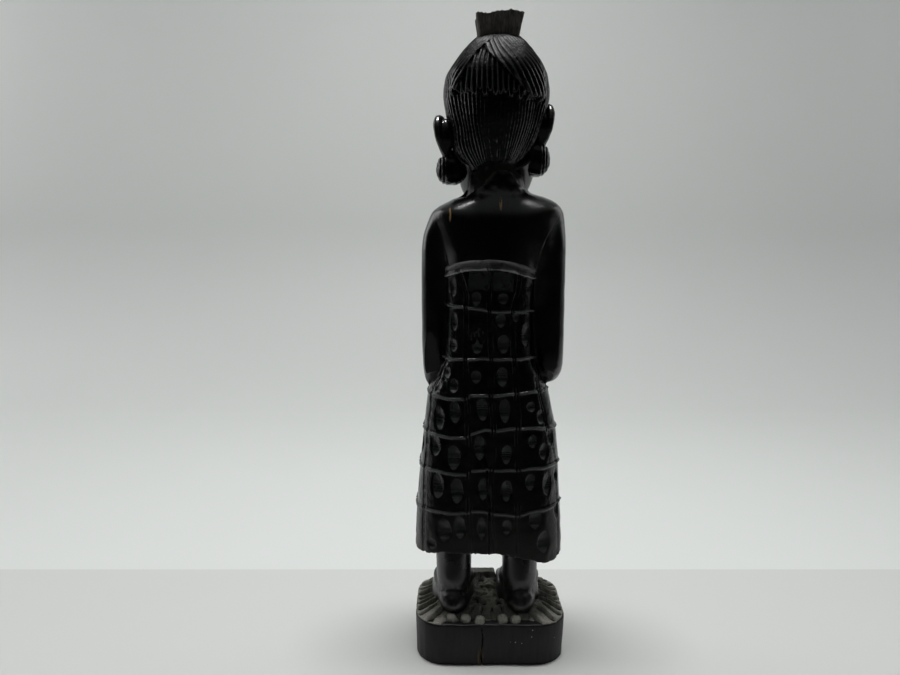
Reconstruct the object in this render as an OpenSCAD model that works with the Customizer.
// Carved standing figure of a woman in dark hardwood, on a fluted plinth.
// Millimetres, +Z up. The origin is the centre of the plinth's underside.
// The face looks along -Y, and +X is the figure's left side.

/* [Plinth] */
// Width of the plinth
plinth_w = 157; // [150:1:175]
// Depth of the plinth, front to back
plinth_d = 104; // [100:1:130]
// Height of the plinth's upright wall
plinth_h = 43; // [30:1:60]
// Radius of the plinth's upright corners
corner_r = 30; // [20:1:45]
// Height of the fluted ground above the wall
ground_h = 7; // [5:1:12]
// Number of flutes round the ground
flute_count = 40; // [24:2:60]

/* [Figure] */
// Height of the feet up to the ankle
foot_h = 30; // [24:1:36]
// Height of the bare leg between ankle and hem
leg_h = 28; // [15:1:40]
// Distance between the legs' centres
stance = 68; // [60:1:76]
// Height of the skirt from hem to waist
skirt_h = 167; // [150:1:190]
// Height of the bodice from waist to top edge
bodice_h = 117; // [110:1:125]
// Height of the bare shoulders, up to the neck
shoulder_h = 78; // [72:1:84]
// Height of the topknot above the crown
topknot_h = 25; // [18:1:32]

/* [Ornaments] */
// Radius of the left ear ornament
left_ornament_r = 14.5; // [12:0.5:17]
// Radius of the right ear ornament
right_ornament_r = 16.5; // [12:0.5:19]

/* [Hidden] */

LEFT = 1;
RIGHT = -1;
ring_n = 32;        // points round the body's rings
limb_n = 24;        // points round a limb's rings
steps = 2;          // rings from one key row to the next
far = 400;          // size of the cutting blocks

// Levels, from the ground up
ground_z = plinth_h + ground_h;
ankle_z = ground_z + foot_h;
hem_z = ankle_z + leg_h;
waist_z = hem_z + skirt_h;
bodice_z = waist_z + bodice_h;
neck_z = bodice_z + shoulder_h;
crown_z = neck_z + 142;
top_z = crown_z + topknot_h;

// The carver stood the legs slightly to the figure's left on the plinth
stance_x = 5;
leg_y = 19;

polished = [0.07, 0.07, 0.075];
carved = [0.11, 0.11, 0.11];
sawn = [0.23, 0.21, 0.20];

// ---------------------------------------------------------------- lofting

// Catmull-Rom value between rows b and c at share t
function blend(a, b, c, d, t) =
    0.5 * (2 * b + (c - a) * t + (2 * a - 5 * b + 4 * c - d) * t * t
        + (3 * b - a - 3 * c + d) * t * t * t);

// All rows of a smooth run through the key rows
function smooth(keys) =
    let (last = len(keys) - 1)
    concat(
        [for (i = [0 : last - 1], s = [0 : steps - 1])
            blend(keys[max(i - 1, 0)], keys[i], keys[i + 1], keys[min(i + 2, last)],
                s / steps)],
        [keys[last]]
    );

// One coordinate of a superellipse: power 2 is an ellipse, more is squarer
function bulge(v, power) = sign(v) * pow(abs(v), 2 / power);

// Level ring of a row [z, centre x, centre y, half width, half depth]
function level_ring(row, power) =
    [for (k = [0 : ring_n - 1])
        let (a = 360 * k / ring_n)
        [row[1] + row[3] * bulge(cos(a), power),
         row[2] + row[4] * bulge(sin(a), power),
         row[0]]];

// Ring square to a limb's path, of a row [x, y, z, radius across, radius along]
function path_ring(row, heading, side) =
    let (
        ahead = heading / norm(heading),
        across_raw = cross(ahead, [side, -1, 1]),
        across = across_raw / norm(across_raw),
        along = cross(across, ahead)
    )
    [for (k = [0 : limb_n - 1])
        let (a = 360 * k / limb_n)
        place(row) + across * row[3] * cos(a) + along * row[4] * sin(a)];

function place(row) = [row[0], row[1], row[2]];

// Rings along a limb's whole path
function path_rings(keys, side) =
    let (rows = smooth(keys), last = len(rows) - 1)
    [for (i = [0 : last])
        path_ring(rows[i], place(rows[min(i + 1, last)]) - place(rows[max(i - 1, 0)]),
            side)];

// Closed skin over rings that each have the same number of points
module skin(rings) {
    n = len(rings[0]);
    last = len(rings) - 1;
    polyhedron(
        points = [for (ring = rings) each ring],
        faces = concat(
            [[for (k = [0 : n - 1]) k]],
            [for (i = [0 : last - 1], k = [0 : n - 1])
                [i * n + k, (i + 1) * n + k, (i + 1) * n + (k + 1) % n, i * n + (k + 1) % n]],
            [[for (k = [n - 1 : -1 : 0]) last * n + k]]
        )
    );
}

// Upright form from level key rows
module stack(keys, power = 2) {
    skin([for (row = smooth(keys)) level_ring(row, power)]);
}

// ---------------------------------------------------------------- plinth

module plinth_outline(inset = 0) {
    half_w = plinth_w / 2 - inset;
    half_d = plinth_d / 2 - inset;
    r = corner_r - inset;
    square([2 * half_w, 2 * (half_d - r)], center = true);
    square([2 * (half_w - r), 2 * half_d], center = true);
    for (sx = [-1, 1], sy = [-1, 1])
        translate([sx * (half_w - r), sy * (half_d - r)]) circle(r, $fn = 48);
}

module plinth() {
    color(polished) linear_extrude(plinth_h) plinth_outline();
}

// Low mound that the feet stand on, ringed by sloping flutes
module fluted_ground() {
    rim = [plinth_w / 2 - 2, plinth_d / 2 - 2];
    flute = [19, 5.2, 5];
    squareness = 3.2;
    color(sawn) intersection() {
        linear_extrude(ground_z) plinth_outline(1);
        union() {
            stack([
                [plinth_h, 0, 0, rim[0], rim[1]],
                [plinth_h + ground_h * 0.4, 0, 0, rim[0] - 6, rim[1] - 2.5],
                [ground_z, 0, 0, rim[0] - 14, rim[1] - 6]
            ], squareness);
            for (k = [0 : flute_count - 1]) {
                a = 360 * k / flute_count;
                translate([
                    (rim[0] - 12) * bulge(cos(a), squareness),
                    (rim[1] - 9) * bulge(sin(a), squareness),
                    plinth_h
                ])
                    rotate([0, 14, a])
                        translate([-flute[0] / 3, -flute[1] / 2, 0]) cube(flute);
            }
        }
        translate([-far / 2, -far / 2, plinth_h]) cube(far);
    }
}

// ---------------------------------------------------------------- legs

function leg_x(side) = stance_x + side * stance / 2;

// Foot with the heel under the leg and the toes turned a little outwards
module foot(side) {
    x = leg_x(side);
    color(polished) stack([
        [ground_z, x + side * 4, -3, 22, 43],
        [ground_z + foot_h * 0.25, x + side * 4, -2, 21.5, 42],
        [ground_z + foot_h * 0.5, x + side * 3, 6, 20, 33],
        [ground_z + foot_h * 0.75, x + side, 14, 18.5, 24],
        [ankle_z, x, leg_y, 18, 18]
    ], 2.3);
}

module leg(side) {
    color(polished) translate([leg_x(side), leg_y, ankle_z])
        cylinder(h = leg_h, r1 = 18, r2 = 19, $fn = 48);
}

// ---------------------------------------------------------------- dress

module skirt() {
    color(carved) stack([
        [hem_z, 3, 0, 76, 49],
        [hem_z + skirt_h * 0.15, 3, 0, 75.5, 48.5],
        [hem_z + skirt_h * 0.4, 3, 0, 72.5, 47],
        [hem_z + skirt_h * 0.67, 2, 0, 69, 45],
        [hem_z + skirt_h * 0.87, 3, 0, 64.5, 43],
        [waist_z, 4, 0, 60.5, 41]
    ], 2.4);
}

// Bodice, with the bust under the cloth
module bodice() {
    bust_r = 23;
    color(carved) union() {
        stack([
            [waist_z, 4, 0, 60.5, 41],
            [waist_z + bodice_h * 0.12, 4, 0, 54, 40],
            [waist_z + bodice_h * 0.3, 4, 0, 47, 39],
            [waist_z + bodice_h * 0.65, 4, 0, 45, 39],
            [bodice_z, 3, 0, 46, 39]
        ], 2.4);
        for (side = [LEFT, RIGHT])
            translate([3 + side * 21, -24, bodice_z - 26]) sphere(bust_r, $fn = 48);
    }
}

// Rolled edge of the wrapped cloth, round the top of the bodice
module dress_top_band() {
    color(carved) difference() {
        stack([
            [bodice_z - 4, 3, 0, 46.5, 39.5],
            [bodice_z + 1, 3, 0, 49, 42],
            [bodice_z + 7, 3, 0, 49, 42],
            [bodice_z + 11, 3, 0, 47, 40.5]
        ], 2.4);
        bodice();
        torso();
    }
}

// ---------------------------------------------------------------- upper body

// Bare back and chest, rounding over into the shoulders
module torso() {
    color(polished) stack([
        [bodice_z, 3, 0, 46, 39],
        [bodice_z + shoulder_h * 0.3, 1, 1, 49, 39],
        [bodice_z + shoulder_h * 0.55, -1, 2, 54, 38],
        [bodice_z + shoulder_h * 0.7, -2, 3, 58, 36],
        [bodice_z + shoulder_h * 0.82, -4, 3, 56, 33],
        [bodice_z + shoulder_h * 0.92, -5, 4, 44, 29],
        [neck_z, -3, 4, 31, 26]
    ], 2.3);
}

// Path of each arm down to the fingertips: [x, y, z, radius across, radius along]
function limb_keys(side) = side == LEFT
    ? [
        [46, 3, neck_z - 12, 8, 9],
        [52, 3, neck_z - 24, 11, 13],
        [56.5, 3, neck_z - 40, 13.5, 15],
        [58, 3, neck_z - 70, 13, 15],
        [58.5, 4, neck_z - 110, 12.5, 15],
        [58.5, 5, neck_z - 145, 12.5, 15],
        [57.5, 0, neck_z - 164, 12.5, 14],
        [55, -13, neck_z - 178, 12, 12.5],
        [49, -27, neck_z - 185, 11, 11],
        [40, -40, neck_z - 188, 10, 10],
        [29, -47, neck_z - 189, 9, 9],
        [18, -50, neck_z - 190, 9, 7.5],
        [7, -51, neck_z - 190, 9.5, 7],
        [-3, -51, neck_z - 190, 7, 5.5]
    ]
    : [
        [-47, 3, neck_z - 10, 8, 9],
        [-53, 3, neck_z - 22, 11, 13],
        [-57.5, 3, neck_z - 38, 14, 15],
        [-58, 3, neck_z - 70, 14.5, 15.5],
        [-57.5, 4, neck_z - 110, 15, 16],
        [-57, 6, neck_z - 150, 15, 16],
        [-56.5, 3, neck_z - 169, 14.5, 15],
        [-54, -10, neck_z - 177, 13.5, 13.5],
        [-49, -25, neck_z - 178, 12, 12],
        [-40, -38, neck_z - 177, 10.5, 10.5],
        [-29, -46, neck_z - 175, 9, 9],
        [-18, -50, neck_z - 173, 9, 7.5],
        [-7, -51, neck_z - 172, 9.5, 7],
        [3, -51, neck_z - 171, 7, 5.5]
    ];

// Index of the ring at each end of the arm and at the fingertips
wrist_ring = 10 * steps;
tip_ring = 13 * steps;

module limb(side, first, last) {
    rings = path_rings(limb_keys(side), side);
    skin([for (i = [first : last]) rings[i]]);
}

module arm(side) {
    color(polished) difference() {
        limb(side, 0, wrist_ring);
        torso();
        dress_top_band();
        bodice();
        skirt();
    }
}

// The hands lie one over the other on the belly, the right one above
module hand(side) {
    color(polished) difference() {
        limb(side, wrist_ring, tip_ring);
        bodice();
        skirt();
        if (side == LEFT) limb(RIGHT, wrist_ring, tip_ring);
    }
}

// ---------------------------------------------------------------- head

module neck_form() {
    stack([
        [neck_z, -3, 4, 31, 26],
        [neck_z + 8, -3, 4, 28, 24],
        [neck_z + 22, -2, 3, 26, 23],
        [neck_z + 45, -2, 2, 25.5, 22.5]
    ]);
}

module neck() {
    color(polished) difference() {
        neck_form();
        head_form();
    }
}

// Face, skull and hair together
module head_form() {
    stack([
        [neck_z - 20, -3, -30, 9, 8],
        [neck_z - 14, -3, -29, 19, 14],
        [neck_z - 4, -3, -25, 28, 20],
        [neck_z + 6, -3, -21, 34, 25],
        [neck_z + 18, -3, -15, 38, 31],
        [neck_z + 30, -2, -9, 41, 37],
        [neck_z + 42, -2, -4, 43.5, 43],
        [neck_z + 60, -2, -1, 46, 47],
        [neck_z + 78, -2, 0, 49.5, 48],
        [neck_z + 93, -2, 1, 51.5, 48],
        [neck_z + 108, -2, 2, 49.5, 46],
        [neck_z + 121, -3, 3, 43.5, 41],
        [neck_z + 131, -3, 4, 37, 35],
        [neck_z + 136, -3, 5, 32.5, 31],
        [neck_z + 140, -3, 6, 27.5, 25],
        [crown_z, -3, 7, 23, 20]
    ], 2.1);
}

// Everything behind the hairline, which slopes from the nape to the brow
module behind_hairline() {
    translate([0, 6, neck_z + 30]) rotate([31, 0, 0])
        translate([-far / 2, 0, -far / 2]) cube(far);
}

module head() {
    color(polished) difference() {
        head_form();
        behind_hairline();
        torso();
    }
}

module hair() {
    color(carved) intersection() {
        head_form();
        behind_hairline();
    }
}

// Squared stub of hair, flared to the top and sawn off at a slant
module topknot() {
    color(sawn) difference() {
        stack([
            [crown_z - 12, -3, 7, 19, 14],
            [crown_z, -3, 7, 20, 15],
            [crown_z + topknot_h * 0.5, -3.5, 7, 21.5, 16],
            [top_z, -4, 7, 23.5, 17]
        ], 4);
        head_form();
        translate([-15, 0, top_z]) rotate([0, 7, 0])
            translate([0, -far / 2, 0]) cube(far);
    }
}

// ---------------------------------------------------------------- ears

// Levels of ears and ornaments [left, right]: the head is carved slightly askew
ear_z = [neck_z + 56, neck_z + 66];
ornament_z = [neck_z + 23, neck_z + 33];

module ear_form(side) {
    z = side == LEFT ? ear_z[0] : ear_z[1];
    translate([side * 48, 1, z]) rotate([0, side * 8, side * -20]) stack([
        [-18, 0, 0, 2, 3],
        [-15, 0, 0, 6, 7],
        [-5, side * 2, 0, 7.5, 10],
        [6, side * 2.5, 0, 7.5, 12],
        [14, side * 1.5, 0, 6.5, 9],
        [18, 0, 0, 2, 3]
    ]);
}

module ear(side) {
    color(polished) difference() {
        ear_form(side);
        head_form();
    }
}

// Thick turned disc worn in the ear lobe, with a rounded outer edge
module ornament_form(side) {
    r = side == LEFT ? left_ornament_r : right_ornament_r;
    z = side == LEFT ? ornament_z[0] : ornament_z[1];
    edge_r = 6;
    length = 26;
    translate([side * 30, -3, z]) rotate([0, side * 90, 0])
        rotate_extrude($fn = 48) {
            square([r - edge_r, length]);
            square([r, length - edge_r]);
            translate([r - edge_r, length - edge_r]) circle(edge_r, $fn = 32);
        }
}

module ear_ornament(side) {
    color(polished) difference() {
        ornament_form(side);
        head_form();
        ear_form(side);
    }
}

// ---------------------------------------------------------------- assembly

plinth();
fluted_ground();
foot(LEFT);  // left_foot
foot(RIGHT);  // right_foot
leg(LEFT);  // left_leg
leg(RIGHT);  // right_leg
skirt();
bodice();
dress_top_band();
torso();
arm(LEFT);  // left_arm
arm(RIGHT);  // right_arm
hand(LEFT);  // left_hand
hand(RIGHT);  // right_hand
neck();
head();
hair();
topknot();
ear(LEFT);  // left_ear
ear(RIGHT);  // right_ear
ear_ornament(LEFT);  // left_ear_ornament
ear_ornament(RIGHT);  // right_ear_ornament
